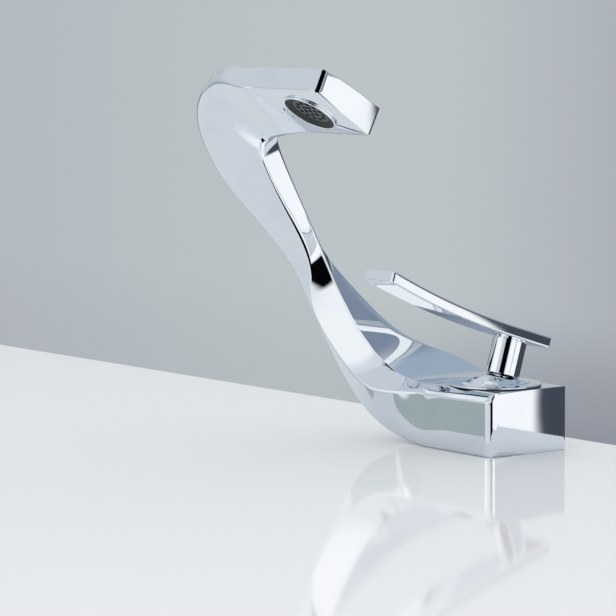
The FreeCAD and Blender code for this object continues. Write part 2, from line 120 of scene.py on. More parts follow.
def finishPiece(piece, name, node, material):
    # a piece stands for a CAD node and rides on the body that the node rides on
    smoothPiece(piece, name)
    for face in piece.data.polygons:
        if len(face.vertices) > manySides:
            face.use_smooth = False
    addModifier(piece, "WEIGHTED_NORMAL", keep_sharp=True)  # keeps flats flat beside rounded rims
    coatPiece(piece, material)
    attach(piece, bodyOf[node])
    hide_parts(node)
    return piece


def extraPiece(piece, name, node, material):
    # a piece shown beside a CAD node's own stand-in, on the same body
    smoothPiece(piece, name)
    coatPiece(piece, material)
    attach(piece, bodyOf[node])
    return piece


bodyOf = {}
for body, nodes in frame["record"]["behaviour"]["bodies"].items():
    for node in nodes:
        bodyOf[node] = body
slotOf = {entry["node"]: entry["material_slot"] for entry in frame["record"]["subparts"]}


def outlinePiece(profile):
    # a closed wire through the points (radius, height), in millimetres; it stays in edit mode
    bpy.ops.mesh.primitive_circle_add(vertices=len(profile), radius=mm)
    piece = bpy.context.object
    bm = editMode(piece)
    bm.verts.ensure_lookup_table()
    for vert, (radius, height) in zip(bm.verts, profile):
        vert.co = Vector((radius, 0, height)) * mm
    bmesh.update_edit_mesh(piece.data)
    return piece


def spunPiece(profile, steps=128):
    # the outline is turned once round Z
    piece = outlinePiece(profile)
    bpy.ops.mesh.select_all(action="SELECT")
    bpy.ops.mesh.spin(steps=steps, angle=2 * math.pi, center=(0, 0, 0), axis=(0, 0, 1))
    cleanNormals(piece)
    return piece


def cylinderTool(radius, low, high, steps=128):
    deselectAll()
    middle = (0, 0, (low + high) / 2 * mm)
    bpy.ops.mesh.primitive_cylinder_add(vertices=steps, radius=radius * mm,
                                        depth=(high - low) * mm, location=middle)
    tool = bpy.context.object
    bpy.ops.object.transform_apply(**applied)
    return tool


def tubeTool(outer, inner, low, high):
    deselectAll()
    return spunPiece([(inner, low), (outer, low), (outer, high), (inner, high)])


def cornerArc(corners, index, radius, steps):
    # the arc that rounds one corner of a closed outline, kept within its two sides
    corner = corners[index]
    back = corners[index - 1] - corner
    ahead = corners[(index + 1) % len(corners)] - corner
    half = back.angle(ahead) / 2
    reach = min(radius / math.tan(half), sideShare * back.length, sideShare * ahead.length)
    return arcPoints(corner, back.normalized(), ahead.normalized(), half, reach, steps)


def roundedProfile(points, radius, steps=4):
    # rounds each corner of a (radius, height) outline
    corners = [Vector(point) for point in points]
    arcs = [cornerArc(corners, index, radius, steps) for index in range(len(corners))]
    return [tuple(point) for arc in arcs for point in arc]


def arcPoints(corner, back, ahead, half, reach, steps):
    size = reach * math.tan(half)
    centre = corner + (back + ahead).normalized() * (size / math.sin(half))
    first = (corner + back * reach - centre) / size
    last = (corner + ahead * reach - centre) / size
    turn = first.angle(last)
    side = (last - first * math.cos(turn)) / math.sin(turn)
    points = []
    for step in range(steps + 1):
        angle = turn * step / steps
        points.append(centre + (first * math.cos(angle) + side * math.sin(angle)) * size)
    return points


def loftedPiece(rings):
    # a grid is rolled up through the rings, its seam is merged and its ends are filled
    count = len(rings)
    around = len(rings[0])
    deselectAll()
    bpy.ops.mesh.primitive_grid_add(x_subdivisions=around, y_subdivisions=count - 1, size=mm)
    piece = bpy.context.object
    places = np.concatenate([np.vstack([ring, ring[:1]]) for ring in rings])
    piece.data.vertices.foreach_set("co", (places * mm).ravel())
    piece.data.update()
    editMode(piece)
    bpy.ops.mesh.select_all(action="SELECT")
    bpy.ops.mesh.remove_doubles(threshold=1e-7)
    bpy.ops.mesh.select_all(action="DESELECT")
    bpy.ops.mesh.select_mode(type="EDGE")
    bpy.ops.mesh.select_non_manifold()
    bpy.ops.mesh.fill_holes(sides=0)
    bpy.ops.mesh.select_all(action="SELECT")
    bpy.ops.mesh.normals_make_consistent(inside=False)
    bpy.ops.object.mode_set(mode="OBJECT")
    return piece


def selectEnds(piece, axis):
    bm = bmesh.from_edit_mesh(piece.data)
    for face in bm.faces:
        if len(face.verts) > endSides and abs(face.normal.dot(Vector(axis))) > facing:
            face.select = True
    bmesh.update_edit_mesh(piece.data)


def bevelEnds(piece, axis, width, segments=3):
    # softens the rims of the flat ends that look along an axis
    editMode(piece, "FACE")
    selectEnds(piece, axis)
    bpy.ops.mesh.region_to_loop()
    bpy.ops.mesh.bevel(offset=width * mm, offset_type="OFFSET", segments=segments, profile=0.5,
                       affect="EDGES")
    bpy.ops.mesh.select_all(action="DESELECT")
    bpy.ops.mesh.select_mode(type="FACE")
    selectEnds(piece, axis)
    bpy.ops.mesh.poke()  # a fan of triangles goes through the cuts unharmed
    bpy.ops.object.mode_set(mode="OBJECT")


# shader maths: a wrapped socket adds a node for each operator

class Flow:
    def __init__(self, tree, socket):
        self.tree = tree
        self.socket = socket

    def maths(self, operation, *values):
        node = self.tree.nodes.new("ShaderNodeMath")
        node.operation = operation
        for socket, value in zip(node.inputs, values):
            plug(self.tree, socket, value)
        return Flow(self.tree, node.outputs[0])

    def __add__(self, other):
        return self.maths("ADD", self, other)

    def __radd__(self, other):
        return self.maths("ADD", other, self)

    def __sub__(self, other):
        return self.maths("SUBTRACT", self, other)

    def __rsub__(self, other):
        return self.maths("SUBTRACT", other, self)

    def __mul__(self, other):
        return self.maths("MULTIPLY", self, other)

    def __rmul__(self, other):
        return self.maths("MULTIPLY", other, self)

    def __truediv__(self, other):
        return self.maths("DIVIDE", self, other)

    def smooth(self, low, high):
        node = self.tree.nodes.new("ShaderNodeMapRange")
        node.interpolation_type = "SMOOTHSTEP"
        for name, value in {"Value": self, "From Min": low, "From Max": high}.items():
            plug(self.tree, node.inputs[name], value)
        return Flow(self.tree, node.outputs["Result"])


def plug(tree, socket, value):
    if isinstance(value, Flow):
        tree.links.new(value.socket, socket)
    elif value is not None:
        socket.default_value = value


def addNode(tree, kind, settings=None, output=0, **inputs):
    node = tree.nodes.new(kind)
    for name, value in (settings or {}).items():
        if name == "stops":
            fillRamp(node, value)
        else:
            setattr(node, name, value)
    for name, value in inputs.items():
        plug(tree, node.inputs[name.replace("_", " ")], value)
    return Flow(tree, node.outputs[output])


def fillRamp(node, stops):
    elements = node.color_ramp.elements
    while len(elements) < len(stops):
        elements.new(0.5)
    for element, (place, colour) in zip(elements, stops):
        element.position = place
        element.color = (*colour, 1)


def mixColours(tree, factor, first, second):
    node = tree.nodes.new("ShaderNodeMix")
    node.data_type = "RGBA"
    plug(tree, node.inputs[0], factor)
    plug(tree, node.inputs[6], first)
    plug(tree, node.inputs[7], second)
    return Flow(tree, node.outputs[2])


def splitVector(tree, vector):
    node = tree.nodes.new("ShaderNodeSeparateXYZ")
    plug(tree, node.inputs[0], vector)
    return [Flow(tree, output) for output in node.outputs]


def mixShaders(tree, factor, first, second):
    node = tree.nodes.new("ShaderNodeMixShader")
    for socket, value in zip(node.inputs, (factor, first, second)):
        plug(tree, socket, value)
    return Flow(tree, node.outputs[0])


def newMaterial(name):
    material = bpy.data.materials.new(name)
    material.use_nodes = True
    tree = material.node_tree
    shader = tree.nodes["Principled BSDF"]
    place = addNode(tree, "ShaderNodeTexCoord", output=3)
    return material, tree, shader, place


def noiseOn(tree, place, scale, detail=2.0):
    return addNode(tree, "ShaderNodeTexNoise", output=0, Vector=place, Scale=scale, Detail=detail)


def bumpFrom(tree, height, strength, distance):
    return addNode(tree, "ShaderNodeBump", Height=height, Strength=strength, Distance=distance)


def linear(red, green, blue):
    # screen colours, 0 to 255, to the shader's linear values
    out = []
    for value in (red, green, blue):
        value /= 255
        out.append(value / 12.92 if value <= 0.04045 else ((value + 0.055) / 1.055) ** 2.4)
    return (*out, 1)


# finishes

def chromeFinish():
    material, tree, shader, place = newMaterial("polishedChrome")
    haze = noiseOn(tree, place, 38.0, 4.0).smooth(0.45, 0.8)
    ripple = noiseOn(tree, place, 22.0, 1.0)
    tone = mixColours(tree, haze, linear(232, 236, 240), linear(226, 231, 237))
    plug(tree, shader.inputs["Base Color"], tone)
    plug(tree, shader.inputs["Roughness"], 0.012 + haze * 0.014)
    plug(tree, shader.inputs["Normal"], bumpFrom(tree, ripple, 0.02, 0.001))
    shader.inputs["Metallic"].default_value = 1.0
    return material


def metalFinish(name, colour, dark, roughness, scale):
    # turned metal: fine circular tool marks and some dull patches
    material, tree, shader, place = newMaterial(name)
    patch = noiseOn(tree, place, scale, 5.0)
    marks = addNode(tree, "ShaderNodeTexWave", {"wave_type": "BANDS", "bands_direction": "Z"},
                    Vector=place, Scale=900.0, Distortion=1.5, Detail=2.0)
    marks = Flow(tree, marks.socket.node.outputs["Fac"])
    tone = mixColours(tree, patch.smooth(0.35, 0.75), colour, dark)
    plug(tree, shader.inputs["Base Color"], tone)
    plug(tree, shader.inputs["Roughness"], roughness + patch * 0.15)
    plug(tree, shader.inputs["Normal"], bumpFrom(tree, marks, 0.12, 0.0001))
    shader.inputs["Metallic"].default_value = 1.0
    return material


def mouldedFinish(name, colour, dark, roughness, grain):
    # plastic, rubber or ceramic: fine grain and a slight change of tone
    material, tree, shader, place = newMaterial(name)
    tone = noiseOn(tree, place, 60.0, 3.0)
    pits = noiseOn(tree, place, 2600.0, 2.0)
    plug(tree, shader.inputs["Base Color"], mixColours(tree, tone.smooth(0.3, 0.8), colour, dark))
    plug(tree, shader.inputs["Roughness"], roughness + tone * 0.12)
    plug(tree, shader.inputs["Normal"], bumpFrom(tree, pits, grain, 0.0001))
    return material


chrome = chromeFinish()
brass = metalFinish("turnedBrass", linear(196, 160, 92), linear(166, 128, 66), 0.22, 90.0)
steel = metalFinish("stainlessSteel", linear(196, 197, 198), linear(160, 161, 163), 0.25, 120.0)
ceramic = mouldedFinish("lappedCeramic", linear(240, 238, 230), linear(228, 225, 214), 0.12, 0.02)
greyPlastic = mouldedFinish("greyAcetal", linear(128, 131, 136), linear(110, 113, 118), 0.4, 0.10)
# the aerator insert's near-black tone is partly its own dark plastic and partly painted shade
# inside the outlet
insertPlasticAndShade = mouldedFinish("aeratorPlasticAndShade", linear(38, 42, 48), linear(26, 29, 33), 0.30, 0.06)
rubber = mouldedFinish("blackRubber", linear(38, 38, 40), linear(26, 26, 28), 0.62, 0.25)
finishOf = {"chrome": chrome, "brass": brass, "stainless_steel": steel, "ceramic": ceramic,
            "grey_plastic": greyPlastic, "white_plastic": insertPlasticAndShade, "black_rubber": rubber}
print("finishes made")


# spout casting, all in millimetres and degrees

spout = {
    "baseWidth": 50.0, "baseDepth": 50.0, "baseHeight": 32.0, "baseFrontCorner": 5.0,
    "baseBackCorner": 1.4,
    "bow": 92.0, "lean": 108.0, "rise": 182.6,
    "headEnd": 25.0, "headPitch": 56.0, "headFace": 39.5,
    "headFrontCorner": 4.4, "headBackCorner": 1.4,
    "straightBase": -21.0, "straightHead": -17.0, "lead": 4.0,
    "ringStep": 1.3, "arcSteps": 7, "rimBevel": 0.2,
}
baseOutline = {"face": 27.0, "inner": (32.0, 3.5), "ridge": (32.0, 50.0), "heel": (0.0, 50.0),
               "rounds": (1.5, 1.5, 1.0, 1.2, 1.2)}
headOutline = {"face": 39.5, "inner": (37.7, 14.2), "ridge": (19.75, 13.45), "heel": (-2.0, 11.7),
               "rounds": (1.2, 1.2, 1.2, 30.0, 1.2)}
# keel: shares of bow, lean and rise; then the five-sided outline across the bar
armStations = [
    {"keel": (0.543, 0.010, 0.025), "twist": -8, "face": 23.5, "inner": (29.5, 7),
     "ridge": (32, 44), "heel": (0, 44), "rounds": (1.5, 1.5, 1, 1.5, 2)},
    {"keel": (0.750, 0.012, 0.070), "twist": -23, "face": 21.5, "inner": (29.5, 12),
     "ridge": (29.5, 38), "heel": (0, 38), "rounds": (1.5, 1.5, 1, 1.5, 3)},
    {"keel": (0.880, 0.165, 0.262), "twist": -17, "face": 6.5, "inner": (22.5, 11.5),
     "ridge": (21, 28), "heel": (0, 28), "rounds": (1.5, 1.5, 1, 3, 4)},
    {"keel": (0.880, 0.287, 0.395), "twist": -10, "face": 3.5, "inner": (20.5, 9.5),
     "ridge": (14.5, 20), "heel": (0, 20), "rounds": (1.5, 2, 1, 5, 5)},
    {"keel": (0.870, 0.393, 0.493), "twist": 1, "face": 15, "inner": (23, 6),
     "ridge": (11, 15), "heel": (0, 14.5), "rounds": (2, 4, 1, 8, 4)},
    {"keel": (0.951, 0.583, 0.641), "twist": -2, "face": 31, "inner": (33.5, 9.5),
     "ridge": (20, 14.5), "heel": (0, 14), "rounds": (3, 2, 1, 12, 3)},
    {"keel": (1.000, 0.810, 0.820), "twist": 13, "face": 40.5, "inner": (42, 12),
     "ridge": (26, 14), "heel": (0, 13), "rounds": (4, 1.2, 1.2, 20, 3)},
    {"keel": (0.902, 0.931, 0.926), "twist": 30, "face": 41, "inner": (43, 12.5),
     "ridge": (27, 13.5), "heel": (0, 12.5), "rounds": (6, 2, 1.2, 20, 3)},
    {"keel": (0.674, 0.991, 0.996), "twist": 42, "face": 41, "inner": (43, 13),
     "ridge": (25, 13.8), "heel": (-1, 12.5), "rounds": (6, 5, 1.2, 20, 2)},
    {"keel": (0.330, 1.012, 0.997), "twist": 54, "face": 39.5, "inner": (40, 13.7),
     "ridge": (21, 13.7), "heel": (-2, 12), "rounds": (2, 3, 1.2, 30, 1.2)},
]


def sectionAxes(run, twist):
    along = run.normalized()
    inward = Vector((0, 1, 0)) - along * along.y
    inward.normalize()
    inward = Matrix.Rotation(math.radians(twist), 3, along) @ inward
    return inward.cross(along), inward


def outlineCorners(keel, run, twist, outline):
    across, inward = sectionAxes(run, twist)
    places = [(0, 0), (outline["face"], 0), outline["inner"], outline["ridge"], outline["heel"]]
    return [keel + across * first + inward * second for first, second in places]


def outlineRing(corners, rounds, steps, support=0.35):
    # each corner is an arc; each side keeps a point close to its arcs, so that it renders flat
    arcs = [cornerArc(corners, index, radius, steps) for index, radius in enumerate(rounds)]
    ring = []
    for index, arc in enumerate(arcs):
        following = arcs[(index + 1) % len(arcs)][0]
        side = following - arc[-1]
        near = min(support / max(side.length, 1e-6), 0.3)
        ring += arc
        ring += [arc[-1] + side * share for share in (near, 0.5, 1 - near)]
    return np.array([tuple(point) for point in ring])


def splineSlopes(knots, values, startSlope, endSlope):
    # slopes of the smooth cubic through the values, its end slopes given
    steps = np.diff(knots)
    chords = np.diff(values, axis=0) / steps[:, None]
    matrix = np.eye(len(knots))
    right = np.zeros_like(values)
    right[0] = startSlope
    right[-1] = endSlope
    for index in range(1, len(knots) - 1):
        before, after = steps[index - 1], steps[index]
        matrix[index, index - 1:index + 2] = (after, 2 * (before + after), before)
        right[index] = 3 * (after * chords[index - 1] + before * chords[index])
    return np.linalg.solve(matrix, right)


def splineRings(knots, values, slopes, step):
    rings = []
    for index in range(len(knots) - 1):
        length = knots[index + 1] - knots[index]
        count = max(1, round(length / step))
        for part in range(count):
            t = part / count
            rings.append((2 * t ** 3 - 3 * t ** 2 + 1) * values[index]
                         + (t ** 3 - 2 * t ** 2 + t) * length * slopes[index]
                         + (3 * t ** 2 - 2 * t ** 3) * values[index + 1]
                         + (t ** 3 - t ** 2) * length * slopes[index + 1])
    return rings


def stationRuns(keels):
    runs = [Vector((-1, 0, 0))] * 2
    for index in range(2, len(keels) - 2):
        before = keels[index] - keels[index - 1]
        after = keels[index + 1] - keels[index]
        ratio = after.length / before.length
        runs.append(before * ratio + after / ratio)
    return runs + [Vector((1, 0, 0))] * 2


def spoutKeels():
    front = -spout["baseDepth"] / 2
    start = spout["straightBase"]
    keels = [Vector((x, front, 0)) for x in (start, start - spout["lead"])]
    for station in armStations:
        bow, lean, rise = station["keel"]
        y = front - spout["lean"] * lean
        keels.append(Vector((-spout["bow"] * bow, y, spout["rise"] * rise)))
    for x in (spout["straightHead"] - spout["lead"], spout["straightHead"]):
        keels.append(Vector((x, front - spout["lean"], spout["rise"])))
    return keels


def pressedRing(ring, foot, into, depth):
    # the part of the ring on the near side of a plane is laid straight along that plane
    inside = (ring - np.array(foot)) @ np.array(into) - depth
    count = len(ring)
    starts = [i for i in range(count) if inside[i] < 0 <= inside[i - 1]]
    if depth < 1e-6 or len(starts) != 1:
        return ring
    run = [starts[0]]
    while inside[(run[-1] + 1) % count] < 0:
        run.append((run[-1] + 1) % count)
    before, after = (run[0] - 1) % count, (run[-1] + 1) % count

    def crossing(near, far):
        share = inside[far] / (inside[far] - inside[near])
        return ring[far] + (ring[near] - ring[far]) * share

    path = [crossing(run[0], before)] + [ring[i] for i in run] + [crossing(run[-1], after)]
    lengths = np.cumsum([np.linalg.norm(b - a) for a, b in zip(path, path[1:])])
    pressed = np.array(ring)
    for i, length in zip(run, lengths):
        pressed[i] = path[0] + (path[-1] - path[0]) * (length / lengths[-1])
    return pressed


def roundedEndRings(ring, end, corners, steps=8):
    # the flat end's upright corners: the ring is pressed in from the sides as x nears the end
    places = set()
    for foot, into, radius in corners:
        for step in range(steps + 1):
            places.add(round(end - radius + radius * math.sin(math.pi / 2 * step / steps), 4))
    rings = []
    for x in sorted(places):
        pressed = np.array(ring)
        pressed[:, 0] = x
        for foot, into, radius in corners:
            over = max(0.0, x - (end - radius))
            depth = radius - math.sqrt(max(radius ** 2 - over ** 2, 0.0))
            pressed = pressedRing(pressed, foot, into, depth)
        rings.append(pressed)
    return rings


def makeSpout():
    keels = spoutKeels()
    runs = stationRuns(keels)
    outlines = [baseOutline] * 2 + armStations + [headOutline] * 2
    twists = [0, 0] + [station["twist"] for station in armStations] + [spout["headPitch"]] * 2
    rings = []
    middles = []
    for keel, run, twist, outline in zip(keels, runs, twists, outlines):
        corners = outlineCorners(keel, run, twist, outline)
        middles.append(sum(corners, Vector()) / len(corners))
        rings.append(outlineRing(corners, outline["rounds"], spout["arcSteps"]))
    knots = np.concatenate([[0], np.cumsum([(b - a).length for a, b in zip(middles, middles[1:])])])
    values = np.array([ring.ravel() for ring in rings])
    startSlope = (values[1] - values[0]) / (knots[1] - knots[0])
    endSlope = (values[-1] - values[-2]) / (knots[-1] - knots[-2])
    slopes = splineSlopes(knots, values, startSlope, endSlope)
    arm = [row.reshape(-1, 3) for row in splineRings(knots, values, slopes, spout["ringStep"])]
    half = spout["baseDepth"] / 2
    endX = spout["baseWidth"] / 2
    baseEnd = roundedEndRings(rings[0], endX, [
        ((0, -half, 0), (0, 1, 0), spout["baseFrontCorner"]),
        ((0, half, 0), (0, -1, 0), spout["baseBackCorner"]),
    ])
    across, inward = sectionAxes(Vector((1, 0, 0)), spout["headPitch"])
    keel = keels[-1]
    frontEdge = (across * headOutline["heel"][0] + inward * headOutline["heel"][1]).normalized()
    backFoot = keel + across * headOutline["face"]
    backTop = keel + across * headOutline["inner"][0] + inward * headOutline["inner"][1]
    backEdge = (backTop - backFoot).normalized()
    headEnd = roundedEndRings(rings[-1], spout["headEnd"], [
        (keel, frontEdge.cross(Vector((1, 0, 0))), spout["headFrontCorner"]),
        (backFoot, -backEdge.cross(Vector((1, 0, 0))), spout["headBackCorner"]),
    ])
    body = list(reversed(baseEnd)) + arm + [rings[-1]] + headEnd
    piece = loftedPiece(body)
    bevelEnds(piece, (1, 0, 0), spout["rimBevel"])
    return piece


def outletMatrix():
    # an aerator piece is made standing up; this turns it into the head's underside
    across = sectionAxes(Vector((1, 0, 0)), spout["headPitch"])[0]
    centre = Vector((0, -spout["baseDepth"] / 2 - spout["lean"], spout["rise"]))
    centre += across * (spout["headFace"] / 2)
    turn = Matrix.Rotation(math.radians(spout["headPitch"] - 90), 4, "X")
    return Matrix.Translation(centre * mm) @ turn


def outletTool(radius, low, high):
    tool = cylinderTool(radius, low, high)
    placePiece(tool, outletMatrix())
    return tool


cavity = {"cartridgeRadius": 17.45, "bonnetRadius": 19.87, "floor": 6.0, "bonnetFloor": 19.3,
          "shankOuter": 16.02, "shankInner": 13.35, "shankTop": 5.5,
          "gasketOuter": 21.05, "gasketInner": 17.95, "gasketDepth": 1.8,
          "outletRadius": 11.92, "outletDepth": 8.5}


def cutSpout(piece):
    top = spout["baseHeight"] + 1
    cutWith(piece, [
        cylinderTool(cavity["cartridgeRadius"], cavity["floor"], top),
        cylinderTool(cavity["bonnetRadius"], cavity["bonnetFloor"], top),
        tubeTool(cavity["shankOuter"], cavity["shankInner"], -1, cavity["shankTop"]),
        tubeTool(cavity["gasketOuter"], cavity["gasketInner"], -1, cavity["gasketDepth"]),
        outletTool(cavity["outletRadius"], -1, cavity["outletDepth"]),
    ])


def mendEnds(piece):
    # each flat end is one face again after the cuts
    bm = editMode(piece, "FACE")
    for face in bm.faces:
        if all(vert.co.x > (spout["headEnd"] - 0.001) * mm for vert in face.verts):
            face.select = True
    bmesh.update_edit_mesh(piece.data)
    bpy.ops.mesh.dissolve_faces()
    bpy.ops.object.mode_set(mode="OBJECT")


casting = makeSpout()
print("spout lofted:", len(casting.data.polygons), "faces")
cutSpout(casting)
mendEnds(casting)
finishPiece(casting, "spoutCasting", "spout_body", chrome)
print("spout cut")

# handle pieces are made upright about the pivot and then leaned back

handle = {
    "pivot": 22.0, "tilt": 17.0,
    "stemRadius": 8.5, "footSphere": 17.65, "stemTop": 33.4, "jointRadius": 7.4, "jointHeight": 0.8,
    "hubRadius": 4.6, "shieldRadius": 16.2, "shieldWall": 1.0, "shieldSpread": 56.0,
    "leverFront": 92.0, "leverBack": 18.0, "tipWidth": 23.5, "backWidth": 20.2,
    "thickness": 5.4, "sweep": 450.0, "straight": 8.5, "edgeRound": 0.8,
    "tipCorner": 2.0, "backCorner": 1.0, "cornerSteps": 8, "rings": 90,
    "studBore": 3.52, "shoulder": 0.25, "shieldFoot": 5.8, "gap": 0.02,
}


def handleMatrix():
    lean = Matrix.Rotation(math.radians(-handle["tilt"]), 4, "X")
    return Matrix.Translation((0, 0, handle["pivot"] * mm)) @ lean


def leverRing(y):
    low = handle["stemTop"] + handle["jointHeight"]
    rise = 0.0
    topRise = 0.0
    if y < -handle["straight"]:
        reach = y + handle["straight"]
        rise = handle["sweep"] - math.sqrt(handle["sweep"] ** 2 - reach ** 2)
        topRadius = handle["sweep"] - handle["thickness"]
        topRise = topRadius - math.sqrt(topRadius ** 2 - reach ** 2)
    length = handle["leverFront"] + handle["leverBack"]
    share = (y + handle["leverFront"]) / length
    half = (handle["tipWidth"] * (1 - share) + handle["backWidth"] * share) / 2
    for end, radius in ((-handle["leverFront"], handle["tipCorner"]),
                        (handle["leverBack"], handle["backCorner"])):
        over = max(0.0, radius - abs(y - end))
        half -= radius - math.sqrt(radius ** 2 - over ** 2)
    bottom = low + rise
    top = low + handle["thickness"] + topRise
    corners = [Vector((x, y, z)) for x, z in ((-half, bottom), (half, bottom),
                                              (half, top), (-half, top))]
    return outlineRing(corners, [handle["edgeRound"]] * 4, 4)


def makeLever():
    # rings along the lever, closer together where its corners are rounded
    front, back = -handle["leverFront"], handle["leverBack"]
    places = []
    for step in range(handle["cornerSteps"] + 1):
        bend = 1 - math.cos(math.pi / 2 * step / handle["cornerSteps"])
        places.append(front + handle["tipCorner"] * bend)
        places.append(back - handle["backCorner"] * bend)
    inner = np.linspace(front + handle["tipCorner"], back - handle["backCorner"], handle["rings"])
    places = sorted(set(np.round(places, 4)) | set(np.round(inner[1:-1], 4)))
    piece = loftedPiece([leverRing(float(y)) for y in places])
    bevelEnds(piece, (0, 1, 0), handle["edgeRound"] * 0.6)
    placePiece(piece, handleMatrix())
    return finishPiece(piece, "lever", "handle_lever", chrome)


def sphereArc(radius, fromRadius, toRadius, steps):
    # points of a sphere's outline about the pivot, between two distances from the axis
    start = math.asin(fromRadius / radius)
    end = math.asin(toRadius / radius)
    points = []
    for step in range(steps + 1):
        angle = start + (end - start) * step / steps
        points.append((radius * math.sin(angle), radius * math.cos(angle)))
    return points


def makeStem():
    shieldTop = handle["shieldRadius"] + handle["gap"]
    bore = handle["studBore"]
    hub = handle["hubRadius"]
    radius = handle["stemRadius"]
    joint = handle["jointRadius"]
    top = handle["stemTop"]
    jointTop = top + handle["jointHeight"]
    outline = [(reach, math.sqrt(shieldTop ** 2 - reach ** 2)) for reach in (bore, hub)]
    outline += sphereArc(handle["footSphere"], hub, radius, 10)
    shoulder = [(radius, top - handle["shoulder"]), (radius - handle["shoulder"], top),
                (joint, top), (joint, jointTop), (bore, jointTop)]
    piece = spunPiece(outline + shoulder)
    placePiece(piece, handleMatrix())
    return finishPiece(piece, "stem", "handle_stem", chrome)


def makeShield():
    outer = handle["shieldRadius"]
    inner = outer - handle["shieldWall"]
    bore = handle["studBore"]
    edge = math.sin(math.radians(handle["shieldSpread"]))
    outline = sphereArc(outer, bore, outer * edge, 40)
    outline += sphereArc(inner, inner * edge, handle["hubRadius"], 40)
    outline += [(handle["hubRadius"], handle["shieldFoot"]), (bore, handle["shieldFoot"])]
    piece = spunPiece(outline)
    placePiece(piece, handleMatrix())
    return finishPiece(piece, "movingDome", "dome_shield", chrome)


# three of these sizes set a notch under the flange and the thin black ring in it, a painted shade
# line
cap = {"height": 32.0, "radius": 23.2, "flange": 1.3, "stepRadius": 16.5, "step": 0.7,
       "grooveRadius": 14.6, "grooveFloor": 0.6, "domeRadius": 17.3, "domeWall": 0.8,
       "opening": 10.9, "shadeRingRadius": 22.3, "shadeRing": 0.4, "shadeRingInset": 0.3, "gap": 0.02,
       "skirtRadius": 19.85, "skirtWall": 1.65, "skirt": 5.4, "shelf": 1.0, "slope": 1.3,
       "round": 0.3, "domeSteps": 16}


def makeCap():
    low = cap["height"]
    flange = low + cap["flange"]
    step = flange + cap["step"]
    floor = low + cap["grooveFloor"]
    pivot = handle["pivot"]
    domeFoot = math.sqrt(cap["domeRadius"] ** 2 - (floor - pivot) ** 2)
    inner = cap["domeRadius"] - cap["domeWall"]
    skirtIn = cap["skirtRadius"] - cap["skirtWall"]
    shelf = low - cap["shelf"]
    skirtFoot = low - cap["skirt"]
    innerFoot = math.sqrt(inner ** 2 - (shelf - pivot) ** 2)
    outline = roundedProfile([
        (cap["skirtRadius"], low), (cap["shadeRingRadius"], low), (cap["shadeRingRadius"], low + cap["shadeRing"]),
        (cap["radius"], low + cap["shadeRing"]), (cap["radius"], flange),
        (cap["stepRadius"] + cap["step"] * cap["slope"], flange), (cap["stepRadius"], step),
        (cap["grooveRadius"], step), (cap["grooveRadius"], floor), (domeFoot, floor),
    ], cap["round"])[5:-5]  # the first and last corner stay sharp
    outline = [(cap["skirtRadius"], low)] + outline
    dome = sphereArc(cap["domeRadius"], domeFoot, cap["opening"], cap["domeSteps"])
    dome += sphereArc(inner, cap["opening"], innerFoot, cap["domeSteps"])
    outline += [(radius, height + pivot) for radius, height in dome]
    outline += [(skirtIn, shelf), (skirtIn, skirtFoot), (cap["skirtRadius"], skirtFoot)]
    piece = spunPiece(outline, steps=160)
    return finishPiece(piece, "domedCap", "dome_cap", chrome)


def makeCapShadeRing():
    # painted shade: a thin black ring under the cap's flange stands in for the dark line that shade
    # and reflection make there
    low = cap["height"] + cap["gap"] / 2
    high = cap["height"] + cap["shadeRing"] - cap["gap"]
    inner = cap["shadeRingRadius"] + cap["gap"]
    outer = cap["radius"] - cap["shadeRingInset"]
    piece = spunPiece([(inner, low), (outer, low), (outer, high), (inner, high)])
    return extraPiece(piece, "capShadeRing", "dome_cap", rubber)


makeLever()
makeStem()
makeShield()
makeCap()
makeCapShadeRing()
print("handle made")

# aerator

aerator = {"ringRadius": 14.0, "lip": 1.0, "threadRadius": 11.9, "depth": 8.5, "bore": 9.6,
           "washer": 1.5, "lipInner": 12.9, "funnelTop": 0.9, "funnelFoot": -0.55, "round": 0.25,
           "linerRound": 0.06}


def makeAeratorRing():
    top = aerator["depth"] - aerator["washer"]
    lip = aerator["lip"]
    inner = aerator["lipInner"]
    bore = aerator["bore"]
    outline = roundedProfile([
        (inner, -lip), (aerator["ringRadius"], -lip), (aerator["ringRadius"], 0),
        (aerator["threadRadius"], 0), (aerator["threadRadius"], top), (bore, top),
        (bore, aerator["funnelTop"]), (inner, aerator["funnelFoot"]),
    ], aerator["round"])
    piece = spunPiece(outline)
    placePiece(piece, outletMatrix())
    return finishPiece(piece, "outletRing", "aerator_housing", chrome)


def makeRecess():
    # the moulded funnel between the thin chrome lip and the jets; its black is partly its own dark
    # plastic and partly painted shade in the recess
    inner = aerator["lipInner"] - 0.03
    bore = aerator["bore"] - 0.02
    outline = roundedProfile([(bore, 0.55), (inner - 0.5, -0.72), (inner, -0.72),
                              (inner, -0.52), (bore, 0.87)], aerator["linerRound"])
    piece = spunPiece(outline)
    placePiece(piece, outletMatrix())
    return extraPiece(piece, "outletRecess", "aerator_housing", rubber)


makeAeratorRing()
makeRecess()
print("outlet made")

under = {"coreRadius": 15.25, "bore": 13.4, "threadTop": -1.2, "threadEnd": -61.2, "pitch": 2.0,
         "crest": 0.35, "root": 1.5, "threadSunk": 0.2, "threadSteps": 40, "acrossFlats": 42.0,
         "chamfer": 1.3,
         "ringRound": 0.45, "rollOver": 1.2, "boreLead": 0.6, "coreLead": 0.7, "threadLead": 0.75,
         "nutBore": 16.02, "nutBevel": 0.25, "ringBore": 16.3, "beyond": 1.0}


def spanOf(node):
    # a node's lowest and highest millimetre along Z, and half its width
    low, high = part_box(node)
    return low[2] / mm, high[2] / mm, (high[0] - low[0]) / 2 / mm


